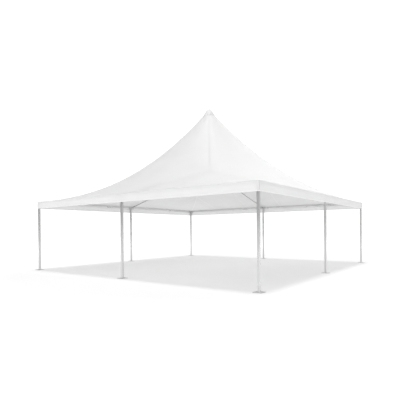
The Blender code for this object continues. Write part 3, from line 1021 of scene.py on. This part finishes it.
def straight_bead(bm, start, end, first_way, second_way):
    """A fillet from start to end, in the corner between two faces."""
    start, end = Vector(start), Vector(end)
    steps = max(2, round((end - start).length / BEAD_STEP))
    path = [(start.lerp(end, i / steps), Vector(first_way), Vector(second_way)) for i in range(steps + 1)]
    lay_bead(bm, path, FITTING_BEAD, False)


h = LEG_SOCKET_HALF                               # short, because every corner below is built from it
lift = h * RAFTER_WAY.z / RAFTER_WAY.y
under = RAFTER_SOCKET_HALF / RAFTER_WAY.y
bm = bmesh.new()
for turn in range(4):
    part = bmesh.new()
    hub = Vector((AXIS, -AXIS, RAIL_HEIGHT))
    straight_bead(part, hub + Vector((-h, -h, -h)), hub + Vector((-h, h, -h)), (-1, 0, 0), (0, 0, -1))
    straight_bead(part, hub + Vector((-h, h, -h)), hub + Vector((h, h, -h)), (0, 1, 0), (0, 0, -1))
    straight_bead(part, hub + Vector((-h, h, -h)), hub + Vector((-h, h, h)), (-1, 0, 0), (0, 1, 0))
    hub = Vector((0.0, -AXIS, RAIL_HEIGHT))
    for way in (-1, 1):
        straight_bead(part, hub + Vector((way * h, -h, -h)), hub + Vector((way * h, h, -h)),
                      (way, 0, 0), (0, 0, -1))
        side = way * RAFTER_SOCKET_HALF
        straight_bead(part, hub + Vector((side, h, lift - under)), hub + Vector((side, h, h)),
                      (way, 0, 0), RAFTER_WAY)
    straight_bead(part, hub + Vector((-RAFTER_SOCKET_HALF, h, lift - under)),
                  hub + Vector((RAFTER_SOCKET_HALF, h, lift - under)), (0, 0, -1), RAFTER_WAY)
    bmesh.ops.transform(part, matrix=quarter(turn), verts=part.verts)
    turned_mesh = bpy.data.meshes.new("turned_welds")
    part.to_mesh(turned_mesh)
    part.free()
    bm.from_mesh(turned_mesh)
    bpy.data.meshes.remove(turned_mesh)
bmesh.ops.recalc_face_normals(bm, faces=bm.faces)
fitting_welds = finish_piece("fitting_welds", bm, [weld_finish], smooth_angle=60.0)
print("fitting welds:", len(fitting_welds.data.polygons), "faces")

# %% [markdown]
# Every tube is kept in its socket by a hexagon bolt on a washer. They sit on the sockets' inner and lower
# faces, out of the cloth's way. One bolt is a washer and a six-sided head whose upper edges are bevelled,
# and each copy is turned so that it points away from its face.

# %% Bolts
HEAD_WIDTH = 0.017                                # across flats
HEAD_HEIGHT = 0.0064
WASHER_RADIUS = 0.010
WASHER_THICKNESS = 0.002
HEAD_BEVEL = 0.0009
SET_BACK = 0.1046                                 # from a fitting's middle to its bolts
RAFTER_FOOT_BOLT = 0.16                           # from a middle fitting's middle, along the rafter
RAFTER_HEAD_BOLT = 0.18                           # from the crown's middle, along the rafter
MAST_BOLT_HEIGHT = 3.95
MAST_SOCKET_RADIUS = 0.0434
BOLT_GAP = 0.0002


def add_bolt(bm, place, outward):
    """A hexagon head on a washer, standing on a face at a place."""
    outward = Vector(outward).normalized()
    stand = Matrix.Translation(place) @ outward.to_track_quat("Z", "Y").to_matrix().to_4x4()
    washer_middle = Matrix.Translation((0.0, 0.0, BOLT_GAP + WASHER_THICKNESS / 2))
    bmesh.ops.create_cone(bm, cap_ends=True, segments=24, radius1=WASHER_RADIUS, radius2=WASHER_RADIUS,
                          depth=WASHER_THICKNESS, matrix=stand @ washer_middle)
    base = BOLT_GAP + WASHER_THICKNESS
    head_middle = Matrix.Translation((0.0, 0.0, base + HEAD_HEIGHT / 2))
    radius = HEAD_WIDTH / 2 / math.cos(math.pi / 6)
    head = bmesh.ops.create_cone(bm, cap_ends=True, segments=6, radius1=radius, radius2=radius,
                                 depth=HEAD_HEIGHT, matrix=stand @ head_middle)
    top = base + HEAD_HEIGHT - 0.0001
    upper = {v for v in head["verts"] if (stand.inverted() @ v.co).z > top}
    rim = [e for e in {e for v in upper for e in v.link_edges} if set(e.verts) <= upper]
    bmesh.ops.bevel(bm, geom=rim, offset=HEAD_BEVEL, segments=1, profile=0.5, affect="EDGES")


bolt_places = []
crown_middle = Vector((0.0, 0.0, CROWN_HEIGHT))
for turn in range(4):
    turned = quarter(turn)
    hub = Vector((AXIS, -AXIS, RAIL_HEIGHT))
    middle = Vector((0.0, -AXIS, RAIL_HEIGHT))
    local = [
        (hub + Vector((-h, 0.0, -SET_BACK)), (-1, 0, 0)),
        (hub + Vector((0.0, h, -SET_BACK)), (0, 1, 0)),
        (hub + Vector((-SET_BACK, 0.0, -h)), (0, 0, -1)),
        (hub + Vector((0.0, SET_BACK, -h)), (0, 0, -1)),
        (middle + Vector((0.0, h, -SET_BACK)), (0, 1, 0)),
        (middle + Vector((-SET_BACK, 0.0, -h)), (0, 0, -1)),
        (middle + Vector((SET_BACK, 0.0, -h)), (0, 0, -1)),
    ]
    for way in (-1, 1):
        out = Vector((way * RAFTER_SOCKET_HALF, 0.0, 0.0))
        local.append((middle + RAFTER_WAY * RAFTER_FOOT_BOLT + out, (way, 0, 0)))
        local.append((crown_middle - RAFTER_WAY * RAFTER_HEAD_BOLT + out, (way, 0, 0)))
    socket_side = Vector((math.sin(math.pi / 4), math.cos(math.pi / 4), 0.0))
    local.append((socket_side * MAST_SOCKET_RADIUS + Vector((0.0, 0.0, MAST_BOLT_HEIGHT)), socket_side))
    bolt_places += [(turned @ place, turned.to_3x3() @ Vector(way)) for place, way in local]
bm = bmesh.new()
for place, way in bolt_places:
    add_bolt(bm, place, way)
bolts = finish_piece("fitting_bolts", bm, [zinc_finish("bolt_zinc")], smooth_angle=30.0)
print("bolts:", len(bolt_places), "with", len(bolts.data.polygons), "faces")
